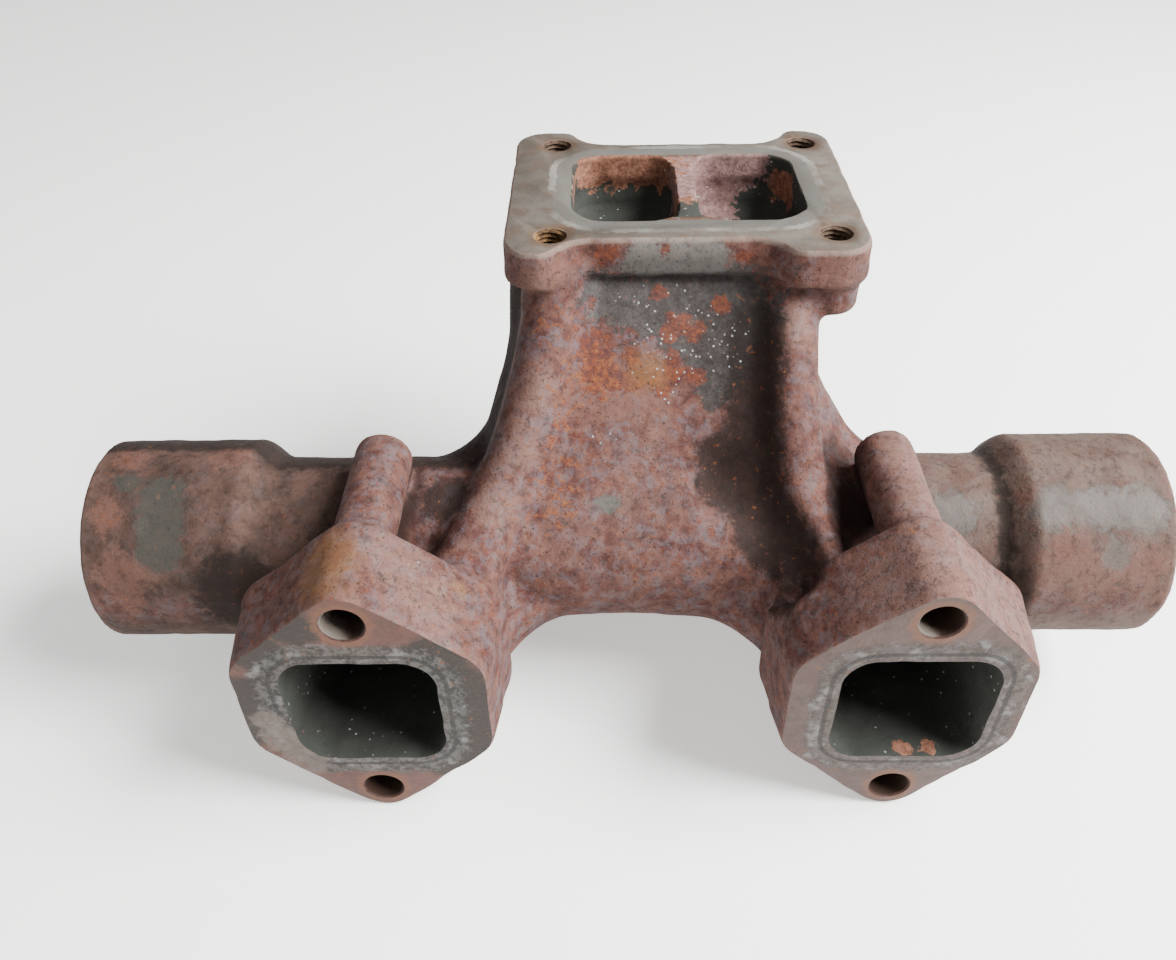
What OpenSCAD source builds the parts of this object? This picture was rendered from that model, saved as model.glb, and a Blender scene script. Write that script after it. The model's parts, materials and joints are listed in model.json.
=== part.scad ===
// Exhaust manifold, centre section, of a heavy-duty diesel engine.
// The head faces lie in the plane y = 0 and look along -Y. +X runs along the engine, +Z is up and
// square to the turbo flange. The origin is the middle of the four head bolt holes.
// The casting is split into its functional sections, which meet face to face.

/* [Head flanges] */
// Distance between the two ports
port_pitch = 160; // [150:1:170]
// Distance from an upper to a lower head bolt
bolt_drop = 77; // [74:0.5:80]
// Diameter of the head bolt holes
bolt_hole_d = 12; // [10:0.5:13]
// Reach of a head flange from its port towards the middle of the casting
inner_reach = 36.5; // [35:0.5:38]
// Reach of the left head flange the other way
left_reach = 35.5; // [32:0.5:37]
// Reach of the right head flange the other way
right_reach = 32; // [31:0.5:37]
// Thickness of a head flange
flange_t = 14; // [10:1:18]
// Depth of the block behind the head face, flange included
block_depth = 30; // [26:1:34]
// How much wider the block is at its back than at the flange
block_flare = 4.5; // [0.5:0.5:5]
// Side of the rounded square port
port_size = 45; // [40:1:47]
// Corner radius of the port
port_corner = 10; // [6:1:14]

/* [Bolt sleeves] */
// Outside diameter of an upper bolt sleeve
sleeve_d = 18.5; // [17:0.5:20]
// Distance from the head face to the end of a sleeve
sleeve_end = 73; // [60:1:85]

/* [Log] */
// Distance from the head face to the axis of the log
log_y = 70; // [67:1:74]
// Height of the axis of the log
log_z = 5; // [2:1:6]
// Outside diameter of the log
log_d = 54; // [52:1:56]
// Bore of the log
log_bore = 42; // [38:1:44]
// Distance from the middle of the ports to the left end
left_end = 173; // [164:1:180]
// Distance from the middle of the ports to the right end
right_end = 167; // [164:1:180]
// Outside diameter of a slip-joint socket
bell_d = 66.5; // [64:0.5:70]
// Bore of a slip-joint socket
bell_bore = 56; // [52:0.5:58]
// Depth of the bore of a slip-joint socket
bell_depth = 42; // [30:1:43]

/* [Turbo flange] */
// Sideways offset of the turbo flange from the middle of the ports
turbo_x = 18.6; // [10:0.1:22]
// Distance from the head face to the middle of the turbo flange
turbo_y = 140.5; // [135:0.5:146]
// Height of the turbo face
turbo_z = 98.4; // [92:0.1:106]
// Spacing of the tapped holes across the flange
stud_x = 88; // [86:0.5:92]
// Spacing of the tapped holes from front to back
stud_y = 70.5; // [69:0.5:74]
// Minor diameter of the tapped holes
stud_hole_d = 8.5; // [6.8:0.1:10.2]
// Depth of the tapped holes
stud_depth = 22; // [19:1:24]
// Thickness of the turbo flange
turbo_t = 13; // [12:1:15]
// Width of the flange to the left of its middle
turbo_left = 59; // [56:0.5:60]
// Width of the flange to the right of its middle
turbo_right = 55; // [54:0.5:58]
// Width of the two openings together
opening_w = 75; // [72:1:76]
// Depth of the openings from front to back
opening_d = 50.5; // [46:0.5:52]
// Thickness of the wall between the two gas streams
divider_t = 5; // [4:0.5:7]
// How far the divider stops below the turbo face
divider_drop = 2; // [1:0.5:8]

/* [Riser] */
// Wall thickness of the riser
wall = 6; // [5:0.5:7]
// Radius of the corner ribs
rib_r = 7.5; // [6.5:0.5:8]
// How far the ribs' crests stand in front of the riser's axis
rib_crest = 29.5; // [29:0.5:32]
// Depth of the trough between the ribs
trough_depth = 3.5; // [1:0.5:4]
// Radius of the trough
trough_r = 60; // [40:1:90]

/* [Hidden] */

LEFT = -1;
RIGHT = 1;
FRONT = -1;
BACK = 1;
rough_iron = [0.42, 0.27, 0.24];
worn_iron = [0.45, 0.38, 0.34];
milled_iron = [0.55, 0.53, 0.5];

bolt_z = bolt_drop / 2;
port_x = port_pitch / 2;
runner_size = port_size + 2 * wall;
bell_start = 115;
bell_round = 11;
neck_start = 50;
turbo_bottom = turbo_z - turbo_t;
pad_r = 13;
boss_r = 9.5;
boss_drop = 12;
passage_w = (opening_w - divider_t) / 2;
passage_r = 12;
lean = atan2(turbo_y - log_y, turbo_bottom - log_z);
riser_front = log_d / 2 - 0.8;
riser_back = 24;
riser_knee = 42;
riser_top = 125;
slab = 1;
eps = 0.05;

// A rectangle about the origin with round corners
module rounded_rect(w, h, r) {
    square([w - 2 * r, h], center = true);
    square([w, h - 2 * r], center = true);
    for (x = [-1, 1], y = [-1, 1])
        translate([x * (w / 2 - r), y * (h / 2 - r)])
            circle(r, $fn = 48);
}

// Extrudes an outline drawn in x and z along +Y
module along_y(start, length) {
    translate([0, start + length, 0])
        rotate([90, 0, 0])
            linear_extrude(length)
                children();
}

// A cylinder about the axis of the log, between two x values
module on_log(from, to, d) {
    translate([from, log_y, log_z])
        rotate([0, 90, 0])
            cylinder(h = to - from, d = d, $fn = 96);
}

// A round bar between two points
module bar(from, to, r) {
    step = to - from;
    run = norm(step);
    translate(from)
        rotate([0, acos(step[2] / run), atan2(step[1], step[0])])
            cylinder(h = run, r = r, $fn = 64);
}

// Outline of a head pad: round lobes over the bolts and round shoulders beside the port
module head_outline(side) {
    upper_r = 14;
    lower_r = 13;
    outer_reach = side > 0 ? right_reach : left_reach;
    hull() {
        translate([0, bolt_z])
            circle(9.8, $fn = 32);
        translate([0, -bolt_z])
            circle(10.4, $fn = 32);
        for (reach = [side * outer_reach, -side * inner_reach]) {
            translate([reach - sign(reach) * upper_r, 14])
                circle(upper_r, $fn = 32);
            translate([reach - sign(reach) * lower_r, -11.5])
                circle(lower_r, $fn = 32);
        }
    }
}

// The gas way through the head pad and the runner into the log
module port_way(side) {
    translate([side * port_x, 0, 0]) {
        along_y(-1, block_depth + 1 + eps)
            rounded_rect(port_size, port_size, port_corner);
        hull() {
            along_y(block_depth, eps)
                rounded_rect(port_size, port_size, port_corner);
            on_log(-20, 20, 38);
        }
    }
}

module head_bolt_hole(side, level) {
    translate([side * port_x, -1, level * bolt_z])
        rotate([-90, 0, 0])
            cylinder(h = sleeve_end + 2, d = bolt_hole_d, $fn = 64);
}

module head_flange(side) {
    color(worn_iron)
        difference() {
            translate([side * port_x, 0, 0])
                along_y(0, flange_t)
                    head_outline(side);
            port_way(side);
            head_bolt_hole(side, 1);
            head_bolt_hole(side, -1);
        }
}

// The block flares towards its back, and stops above the lower bolt, which leaves room for its head
module port_block(side) {
    color(rough_iron)
        difference() {
            translate([side * port_x, 0, 0])
                intersection() {
                    hull() {
                        along_y(flange_t, eps)
                            head_outline(side);
                        along_y(block_depth - eps, eps)
                            offset(block_flare)
                                head_outline(side);
                    }
                    translate([-port_x, 0, -port_size / 2 - wall])
                        cube([2 * port_x, 100, 100]);
                }
            port_way(side);
            head_bolt_hole(side, 1);
        }
}

module bolt_sleeve(side) {
    color(rough_iron)
        difference() {
            translate([side * port_x, block_depth, bolt_z])
                rotate([-90, 0, 0])
                    cylinder(h = sleeve_end - block_depth, d = sleeve_d, $fn = 64);
            head_bolt_hole(side, 1);
            log_solid();
        }
}

module log_solid() {
    on_log(-bell_start, bell_start, log_d);
}

module runner_solid(side) {
    translate([side * port_x, 0, 0])
        hull() {
            along_y(block_depth, eps)
                rounded_rect(runner_size, runner_size, port_corner + wall);
            on_log(-24, 24, 48);
        }
}

module port_runner(side) {
    color(rough_iron)
        difference() {
            runner_solid(side);
            port_way(side);
            log_solid();
        }
}

module neck(side) {
    color(rough_iron)
        difference() {
            on_log(side > 0 ? neck_start : -bell_start, side > 0 ? bell_start : -neck_start, log_d);
            on_log(-bell_start - 1, bell_start + 1, log_bore);
            port_way(side);
            passage(side);
        }
}

module log_half(side) {
    color(rough_iron)
        difference() {
            on_log(side > 0 ? turbo_x : -neck_start, side > 0 ? neck_start : turbo_x, log_d);
            on_log(-bell_start - 1, bell_start + 1, log_bore);
            port_way(side);
            passage(side);
            divider_envelope();
        }
}

// Half outline of a socket, radius against distance along the log, with a rounded shoulder
module bell(side) {
    r0 = log_d / 2;
    rise = (bell_d - log_d) / 2;
    end = side > 0 ? right_end : left_end;
    shoulder = [for (i = [0:6]) [r0 + rise * (1 - cos(30 * i)) / 2, bell_start + bell_round * i / 6]];
    mouth = [
        [bell_d / 2, end - 1.5],
        [bell_d / 2 - 1.5, end],
        [bell_bore / 2, end],
        [bell_bore / 2, end - bell_depth],
        [log_bore / 2, end - bell_depth],
        [log_bore / 2, bell_start]
    ];
    color(worn_iron)
        mirror([side > 0 ? 0 : 1, 0, 0])
            translate([0, log_y, log_z])
                rotate([0, 90, 0])
                    rotate_extrude($fn = 96)
                        polygon(concat(shoulder, mouth));
}

// One of the two gas openings, drawn about the middle of the turbo flange
module opening(side) {
    translate([side * (divider_t + passage_w) / 2, 0])
        rounded_rect(passage_w, opening_d, passage_r);
}

module at_turbo(z) {
    translate([turbo_x, turbo_y, z])
        children();
}

// The gas way from the log up to the turbo flange, on one side of the divider
module passage(side) {
    near = turbo_x + side * divider_t / 2;
    far = side > 0 ? 60 : -50;
    hull() {
        at_turbo(turbo_bottom - eps)
            linear_extrude(2 * eps)
                opening(side);
        on_log(min(near, far), max(near, far), 34);
    }
}

// The frame of the leaning riser: z runs up along it from the log, y runs out of its back
module leaning() {
    translate([0, log_y, log_z])
        rotate([-lean, 0, 0])
            children();
}

// A thin slice across the riser, at a distance along it, between two x values
module riser_slice(along, from, to) {
    translate([(from + to) / 2, (riser_back - riser_front) / 2, along])
        linear_extrude(slab)
            rounded_rect(to - from, riser_back + riser_front, 9);
}

// The outside of the riser: straight above, and spreading to both sides where it meets the log
module riser_solid() {
    difference() {
        leaning()
            union() {
                hull() {
                    riser_slice(riser_top, -34, 60);
                    riser_slice(riser_knee, -45, 63);
                }
                hull() {
                    riser_slice(riser_knee, -45, 63);
                    riser_slice(0, -60, 68);
                }
            }
        leaning()
            translate([turbo_x - 2, -riser_front - trough_r + trough_depth, -50])
                cylinder(h = 250, r = trough_r, $fn = 128);
        translate([-100, 0, turbo_bottom])
            cube([200, 250, 100]);
        log_solid();
        for (side = [LEFT, RIGHT])
            runner_solid(side);
    }
}

module riser(side) {
    color(rough_iron)
        difference() {
            intersection() {
                riser_solid();
                translate([side > 0 ? turbo_x : turbo_x - 100, 0, -50])
                    cube([100, 200, 200]);
            }
            passage(side);
            divider_envelope();
            rib_solid(side);
            stud_boss_solid(side, FRONT);
            stud_boss_solid(side, BACK);
        }
}

// A half-round rib leans back with the riser, and the left one spreads outwards as it comes down
module rib_solid(side) {
    foot_x = side > 0 ? 57.5 : -56;
    top_x = side > 0 ? 52.5 : -25.5;
    seat = rib_r - rib_crest;
    difference() {
        leaning()
            difference() {
                bar([foot_x, seat, -5], [top_x, seat - 1, riser_top], rib_r);
                translate([-100, seat, -50])
                    cube([200, 50, 250]);
            }
        translate([-100, 0, turbo_bottom])
            cube([200, 250, 100]);
    }
}

module rib(side) {
    color(rough_iron)
        difference() {
            rib_solid(side);
            passage(side);
            log_solid();
            runner_solid(side);
            stud_boss_solid(side, FRONT);
        }
}

module stud_hole(side, row) {
    at_turbo(turbo_z - stud_depth)
        translate([side * stud_x / 2, row * stud_y / 2, 0])
            cylinder(h = stud_depth + 1, d = stud_hole_d, $fn = 48);
}

module stud_boss_solid(side, row) {
    at_turbo(turbo_bottom - boss_drop)
        translate([side * stud_x / 2, row * stud_y / 2, 0])
            cylinder(h = boss_drop, r = boss_r, $fn = 64);
}

module stud_boss(side, row) {
    color(rough_iron)
        difference() {
            stud_boss_solid(side, row);
            stud_hole(side, row);
            passage(side);
        }
}

// A slot that scoops the front or back edge of the flange between its lobes
module scallop(x1, x2, y) {
    for (x = [x1, x2])
        translate([x, y])
            circle(pad_r, $fn = 64);
    translate([x1, y - pad_r])
        square([x2 - x1, 2 * pad_r]);
}

module turbo_outline() {
    lobe = 13;
    difference() {
        translate([(turbo_right - turbo_left) / 2, 0])
            rounded_rect(turbo_left + turbo_right, stud_y + 2 * lobe, 10);
        scallop(-31, 17, -stud_y / 2 - 3 - pad_r);
        scallop(-25, 26, stud_y / 2 + 1 + pad_r);
    }
}

module turbo_flange() {
    color(milled_iron)
        difference() {
            at_turbo(turbo_bottom)
                linear_extrude(turbo_t)
                    turbo_outline();
            at_turbo(turbo_bottom - 1)
                linear_extrude(turbo_t + 2)
                    rounded_rect(opening_w, opening_d, passage_r);
            for (side = [LEFT, RIGHT], row = [FRONT, BACK])
                stud_hole(side, row);
        }
}

// The wall between the gas streams, from the floor of the log up to the flange
module divider_envelope() {
    hull() {
        at_turbo(turbo_bottom - slab)
            translate([-divider_t / 2, -opening_d / 2, 0])
                cube([divider_t, opening_d, slab]);
        on_log(turbo_x - divider_t / 2, turbo_x + divider_t / 2, 34);
    }
    on_log(turbo_x - divider_t / 2, turbo_x + divider_t / 2, log_bore);
}

module stream_divider() {
    color(rough_iron) {
        divider_envelope();
        at_turbo(turbo_bottom)
            linear_extrude(turbo_t - divider_drop)
                difference() {
                    square([2 * passage_r, opening_d], center = true);
                    opening(LEFT);
                    opening(RIGHT);
                }
    }
}

head_flange(LEFT);  // head_flange_left
head_flange(RIGHT);  // head_flange_right
port_block(LEFT);  // port_block_left
port_block(RIGHT);  // port_block_right
bolt_sleeve(LEFT);  // bolt_sleeve_left
bolt_sleeve(RIGHT);  // bolt_sleeve_right
port_runner(LEFT);  // port_runner_left
port_runner(RIGHT);  // port_runner_right
neck(LEFT);  // neck_left
neck(RIGHT);  // neck_right
log_half(LEFT);  // log_left
log_half(RIGHT);  // log_right
bell(LEFT);  // bell_left
bell(RIGHT);  // bell_right
riser(LEFT);  // riser_left
riser(RIGHT);  // riser_right
rib(LEFT);  // rib_left
rib(RIGHT);  // rib_right
stream_divider();
turbo_flange();
stud_boss(LEFT, FRONT);  // stud_boss_front_left
stud_boss(RIGHT, FRONT);  // stud_boss_front_right
stud_boss(LEFT, BACK);  // stud_boss_back_left
stud_boss(RIGHT, BACK);  // stud_boss_back_right
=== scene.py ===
import json
import math

import bmesh
import bpy
import numpy as np
import openvdb as vdb
from mathutils import Matrix, Vector


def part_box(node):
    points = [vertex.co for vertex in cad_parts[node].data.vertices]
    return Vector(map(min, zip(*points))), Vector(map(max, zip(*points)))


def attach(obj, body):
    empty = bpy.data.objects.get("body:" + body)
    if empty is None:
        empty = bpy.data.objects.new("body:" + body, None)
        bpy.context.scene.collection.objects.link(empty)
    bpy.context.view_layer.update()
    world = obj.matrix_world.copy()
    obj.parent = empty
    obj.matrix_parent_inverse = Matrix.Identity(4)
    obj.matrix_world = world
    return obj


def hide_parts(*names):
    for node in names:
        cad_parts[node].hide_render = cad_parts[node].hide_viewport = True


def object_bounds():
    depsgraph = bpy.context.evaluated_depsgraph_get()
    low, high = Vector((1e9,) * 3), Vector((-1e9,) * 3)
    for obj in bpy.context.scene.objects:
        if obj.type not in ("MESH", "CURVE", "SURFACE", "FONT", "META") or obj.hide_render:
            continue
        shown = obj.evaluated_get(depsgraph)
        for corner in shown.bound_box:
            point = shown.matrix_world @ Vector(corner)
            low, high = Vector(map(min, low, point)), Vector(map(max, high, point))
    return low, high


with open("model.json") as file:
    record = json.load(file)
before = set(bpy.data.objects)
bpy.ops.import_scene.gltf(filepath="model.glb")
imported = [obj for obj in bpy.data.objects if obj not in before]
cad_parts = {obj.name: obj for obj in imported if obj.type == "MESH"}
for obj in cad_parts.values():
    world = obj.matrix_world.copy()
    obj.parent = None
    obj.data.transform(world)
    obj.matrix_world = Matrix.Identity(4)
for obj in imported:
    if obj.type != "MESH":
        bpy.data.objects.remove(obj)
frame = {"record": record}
cad_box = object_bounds()

# ---------------------------------------------------------------- sizes read from the frame, in mm
MM = 0.001
LEFT, RIGHT = -1, 1
SIDES = {LEFT: "left", RIGHT: "right"}


def span(node):
    low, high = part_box(node)
    return np.array(low) / MM, np.array(high) / MM


def mount(name):
    return next(m for m in frame["record"]["mounts"] if m["name"] == name)


neck_low, neck_high = span("neck_right")
bell_low, bell_high = span("bell_right")
sleeve_low, sleeve_high = span("bolt_sleeve_right")
pad_low, pad_high = span("head_flange_right")
block_high = span("port_block_right")[1]
runner_low, runner_high = span("port_runner_right")
turbo_low, turbo_high = span("turbo_flange")
boss_low = span("stud_boss_front_right")[0]

LOG_R = (neck_high[1] - neck_low[1]) / 2
LOG_Y = (neck_high[1] + neck_low[1]) / 2
LOG_Z = (neck_high[2] + neck_low[2]) / 2
BELL_R = (bell_high[1] - bell_low[1]) / 2
BELL_START, END_RIGHT, END_LEFT = bell_low[0], bell_high[0], span("bell_left")[0][0]
BELL_BORE_R = mount("socket_right")["dims"]["r_mm"]
BELL_DEPTH = mount("socket_right")["dims"]["length_mm"]
PORT_X = mount("head_bolts")["dims"]["spacing_x_mm"] / 2
PAD_T = pad_high[1]
BLOCK_END = block_high[1]
BOLT_R = mount("head_bolts")["dims"]["hole_r_mm"]
BOLT_Z = mount("head_bolts")["dims"]["spacing_y_mm"] / 2
SLEEVE_R = (sleeve_high[0] - sleeve_low[0]) / 2
SLEEVE_END = sleeve_high[1]
TURBO_X, TURBO_Y, TURBO_Z = (c / MM for c in mount("turbo_bolts")["pos_m"])
STUD_X = mount("turbo_bolts")["dims"]["spacing_x_mm"] / 2
STUD_Y = mount("turbo_bolts")["dims"]["spacing_y_mm"] / 2
STUD_R = mount("turbo_bolts")["dims"]["hole_r_mm"]
TURBO_BOTTOM = turbo_low[2]
BOSS_BOTTOM = boss_low[2]
WALL = 6.0
PORT_HALF = (runner_high[0] - runner_low[0]) / 2 - WALL
BORE_R = 21.0

# The riser leans back: s runs up along it from the log, n runs square to it, out of its back
LEAN = math.atan2(TURBO_Y - LOG_Y, TURBO_BOTTOM - LOG_Z)
SIN, COS = math.sin(LEAN), math.cos(LEAN)


def along(y, z):
    return (y - LOG_Y) * SIN + (z - LOG_Z) * COS


def across(y, z):
    return (y - LOG_Y) * COS - (z - LOG_Z) * SIN


# ---------------------------------------------------------------- distance fields
def ramp(t):
    t = np.clip(t, 0, 1)
    return t * t * (3 - 2 * t)


def blend(a, b, r):
    """Union of two fields with a fillet of radius r in the corner between them"""
    return np.maximum(r, np.minimum(a, b)) - np.hypot(np.maximum(r - a, 0), np.maximum(r - b, 0))


def both(a, b, r):
    """Intersection of two fields with the corner rounded to radius r"""
    return np.minimum(np.maximum(a + r, b + r), 0) + np.hypot(np.maximum(a + r, 0), np.maximum(b + r, 0)) - r


def hull_of_circles(a, b, circles):
    """Distance to the convex outline round some circles, each given as a place and a radius"""
    out = np.full(np.broadcast(a, b).shape, -1e9, np.float32)
    for turn in np.linspace(0, 2 * math.pi, 90, endpoint=False):
        c, s = math.cos(turn), math.sin(turn)
        reach = max(p * c + q * s + r for p, q, r in circles)
        out = np.maximum(out, a * c + b * s - reach)
    return out


def round_rect(a, b, half_a, half_b, r):
    return both(abs(a) - half_a, abs(b) - half_b, r)


class Solid:
    """A distance field on a grid, built up by adding and cutting shapes"""

    def __init__(self, low, high, step):
        self.step = step
        self.axes = [np.arange(l, h + step, step, dtype=np.float32) for l, h in zip(low, high)]
        self.d = np.full([len(a) for a in self.axes], 50, np.float32)

    def part(self, low, high):
        ends = [np.searchsorted(a, (l, h)) for a, l, h in zip(self.axes, low, high)]
        cut = tuple(slice(*e) for e in ends)
        x, y, z = (a[c] for a, c in zip(self.axes, cut))
        return cut, x[:, None, None], y[None, :, None], z[None, None, :]

    def add(self, shape, low, high, fillet=0.0):
        cut, x, y, z = self.part(low, high)
        r = fillet(x, y, z) if callable(fillet) else fillet
        self.d[cut] = blend(self.d[cut], shape(x, y, z), r)

    def cut(self, other, r):
        self.d = both(self.d, -other.d, r)

    def sample(self, points):
        """The field's value at some points, given in mm, between the grid's own"""
        at = [(p - axis[0]) / self.step for p, axis in zip(points.T, self.axes)]
        at = [np.clip(a, 0, n - 1.001) for a, n in zip(at, self.d.shape)]
        low = [a.astype(int) for a in at]
        part = [a - l for a, l in zip(at, low)]
        out = np.zeros(len(points))
        for corner in np.ndindex(2, 2, 2):
            share = np.ones(len(points))
            for c, t in zip(corner, part):
                share *= t if c else 1 - t
            out += share * self.d[tuple(l + c for l, c in zip(low, corner))]
        return out

    def mesh(self, name):
        grid = vdb.FloatGrid(background=5.0)
        grid.copyFromArray(np.clip(self.d, -5, 5).astype(np.float32))
        points, quads = grid.convertToQuads(isovalue=0.0)[:2]
        start = np.array([a[0] for a in self.axes])
        return solid_object(name, (points * self.step + start).tolist(), quads.tolist())


def solid_object(name, points, faces):
    """A new object from points in mm and faces"""
    data = bpy.data.meshes.new(name)
    data.from_pydata([[c * MM for c in p] for p in points], [], faces)
    obj = bpy.data.objects.new(name, data)
    bpy.context.scene.collection.objects.link(obj)
    return obj


def noise(shape, step, size, seed):
    """Smooth noise from -1 to 1 on a grid, with lumps of about the given size"""
    rng = np.random.default_rng(seed)
    cells = [int(n * step / size) + 3 for n in shape]
    out = rng.uniform(-1, 1, cells).astype(np.float32)
    for axis, n in enumerate(shape):
        at = np.arange(n) * step / size
        low = at.astype(int)
        t = ramp(at - low).astype(np.float32)
        t = t.reshape([-1 if k == axis else 1 for k in range(3)])
        out = np.take(out, low, axis) * (1 - t) + np.take(out, low + 1, axis) * t
    return out


STEP = 1.15
SPARE = 0.35
MARGIN = 4.0
LOW = (END_LEFT - MARGIN, -MARGIN, pad_low[2] - MARGIN)
HIGH = (END_RIGHT + MARGIN, turbo_high[1] + MARGIN, turbo_high[2] + MARGIN)


def slab(a, low, high):
    return abs(a - (low + high) / 2) - (high - low) / 2


# ---------------------------------------------------------------- the outside of the casting
def pipe(x, y, z):
    swell = ramp((abs(x) - BELL_START) / 11)
    tube = (np.hypot(y - LOG_Y, z - LOG_Z) - LOG_R - (BELL_R - LOG_R) * swell) * 0.92
    tube = tube - 2 * ramp((abs(x + 5) - 5) / 40) * ramp((LOG_Z - z) / 20) * ramp((110 - abs(x)) / 30)
    return both(tube, slab(x, END_LEFT - SPARE, END_RIGHT + SPARE), 1.6)


# The pad's outline is drawn round its two bolts and its four shoulders, as (across, up, radius)
PAD_CIRCLES = {
    LEFT: [(0, BOLT_Z, 9.8), (0, -BOLT_Z, 10.25), (-21.5, 14, 14),
           (-22.5, -12, 13), (22.5, 14.4, 14), (23.5, -11.2, 13)],
    RIGHT: [(0, BOLT_Z, 9.8), (0, -BOLT_Z, 10.25), (17.5, 13, 14.5), (19, -10.5, 13),
            (-22.5, 14.4, 14), (-23.5, -11.2, 13)],
}


FLARE = 4.5


def block(side):
    def shape(x, y, z):
        outline = hull_of_circles(x - side * PORT_X, z, PAD_CIRCLES[side])
        flare = (FLARE - 1.5 * ramp((z - 22) / 12)) * ramp((z + 46) / 14)
        outline = outline - flare * np.clip(y / BLOCK_END, 0, 1.1)
        pad = both(outline, slab(y, -SPARE, PAD_T), 1.6)
        deep = both(both(outline, -z - PORT_HALF - WALL, 4), slab(y, -SPARE - 4, BLOCK_END), 4.5)
        return blend(pad, both(deep, -SPARE - y, 1.6), 2)
    return shape


def runner(side):
    """Between the block and the log: its roof sinks behind the block, its inner side flares"""
    def shape(x, y, z):
        away = ramp((y - BLOCK_END + 4) / 26)
        roof, floor = PORT_HALF + 3.5 - 9 * away, -PORT_HALF - WALL
        inner, outer = PORT_HALF + WALL + (9 if side == LEFT else 7) + 3 * away, PORT_HALF + WALL
        a = -side * (x - side * PORT_X)
        tube = round_rect(a - (inner - outer) / 2, z - (roof + floor) / 2,
                          (inner + outer) / 2, (roof - floor) / 2, 16)
        return both(tube * 0.95, slab(y, BLOCK_END - 8, LOG_Y - 4), 3)
    return shape


def runner_fillet(x, y, z):
    """Small on top, where the pockets are, and wide inside and underneath, where the arch springs"""
    return 5 + 13 * ramp((10 - z) / 16) * ramp((70 - abs(x)) / 20) + 0 * y


def leg(side):
    """Carries a rib on down and forward, onto the inner shoulder of the block"""
    def shape(x, y, z):
        s = 14
        top = np.array((rib_edge(s, side) - side * 9, LOG_Y + s * SIN - 21 * COS, LOG_Z + s * COS + 21 * SIN))
        foot = np.array((side * (PORT_X - 23.5), BLOCK_END + 1, 15.5))
        run = foot - top
        t = ((x - top[0]) * run[0] + (y - top[1]) * run[1] + (z - top[2]) * run[2]) / run.dot(run)
        t = np.clip(t, 0, 1)
        gap = np.sqrt((x - top[0] - t * run[0]) ** 2 + (y - top[1] - t * run[1]) ** 2
                      + (z - top[2] - t * run[2]) ** 2)
        return gap - 8.5 - 3 * t
    return shape


def sleeve(side):
    def shape(x, y, z):
        rod = np.hypot(x - side * PORT_X, z - BOLT_Z) - SLEEVE_R
        return both(rod, slab(y, BLOCK_END - 12, SLEEVE_END), 2.2)
    return shape


# The riser's outer edges, against s: the ribs at its front, and its walls further back
def rib_edge(s, side):
    if side == LEFT:
        return -(57.3 - 0.49 * s + 0.0023 * s * s)
    return 63.2 - 0.2 * s + 0.0019 * s * s


def wall_edge(s, side):
    if side == LEFT:
        return -(41 + 12 * ramp((75 - s) / 60))
    return 62 + 12 * ramp((60 - s) / 30)


TROUGH_X = 22.0
FRONT_TOP, BACK_N = -26.2, 24.0


def front_wall(x, s):
    """The trough between the ribs: a soft, lopsided V, which fades out towards the flange"""
    d = x - TROUGH_X
    vee = -19.2 - 0.175 * (np.hypot(d, 5) - 5) - 0.06 * d
    return FRONT_TOP + (vee - FRONT_TOP) * (0.2 + 0.8 * ramp((92 - s) / 58))


# The valleys that part the top of the arch from the trough: deep by the right rib's leg, faint to the left
VALLEYS = [
    [(27, 62, 38), (37, 52, 34), (44, 41, 28), (48, 32, 23)],
    [(10, 55, 38), (-26, 42, 29)],
]


def valley(x, y, z):
    out = 50
    for a, b in (pair for line in VALLEYS for pair in zip(line, line[1:])):
        a, run = np.array(a), np.array(b) - a
        t = np.clip(((x - a[0]) * run[0] + (y - a[1]) * run[1] + (z - a[2]) * run[2]) / run.dot(run), 0, 1)
        gap = [v - a[k] - t * run[k] for k, v in enumerate((x, y, z))]
        out = np.minimum(out, np.sqrt(gap[0] ** 2 + gap[1] ** 2 + gap[2] ** 2) - 9.5)
    return out


def riser(x, y, z):
    s, n = along(y, z), across(y, z)
    t = np.clip(s, -8, 95)
    back = ramp((n + 24) / 22)
    left = rib_edge(t, LEFT) * (1 - back) + wall_edge(t, LEFT) * back
    right = rib_edge(t, RIGHT) * (1 - back) + wall_edge(t, RIGHT) * back
    sides = (abs(x - (left + right) / 2) - (right - left) / 2) * 0.94
    walls = both(front_wall(x, s) - n, n - BACK_N, 6)
    ends = np.maximum(z - TURBO_BOTTOM - 6, -10 - s)
    return both(both(sides, walls, 7), ends, 4)


def riser_fillet(x, y, z):
    """Sharp at the front, where the trough runs onto the log, and wide round the back"""
    return 3.5 + 13 * ramp((across(y, z) + 18) / 22) + 0 * x


def rib(side):
    def shape(x, y, z):
        s, n = along(y, z), across(y, z)
        t = np.clip(s, -7, 95)
        r = 9.5 if side == LEFT else 8
        middle = rib_edge(t, side) - side * r
        crest = -31.5 + 2.2 * ramp((35 - t) / 45)
        return np.sqrt((x - middle) ** 2 + (n - crest - r) ** 2 + (s - t) ** 2) - r
    return shape


def boss(side, row):
    def shape(x, y, z):
        stem = np.hypot(x - TURBO_X - side * STUD_X, y - TURBO_Y - row * STUD_Y) - 9.5
        return both(stem, slab(z, BOSS_BOTTOM, TURBO_BOTTOM + 6), 3)
    return shape


LOBE_X, LOBE_Y = (turbo_high[0] - turbo_low[0]) / 2 - 0.3, (turbo_high[1] - turbo_low[1]) / 2 - 0.3
SCOOP_R = 13


def scoop(a, b, low, high):
    return np.hypot(a - np.clip(a, low, high), b) - SCOOP_R


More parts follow.
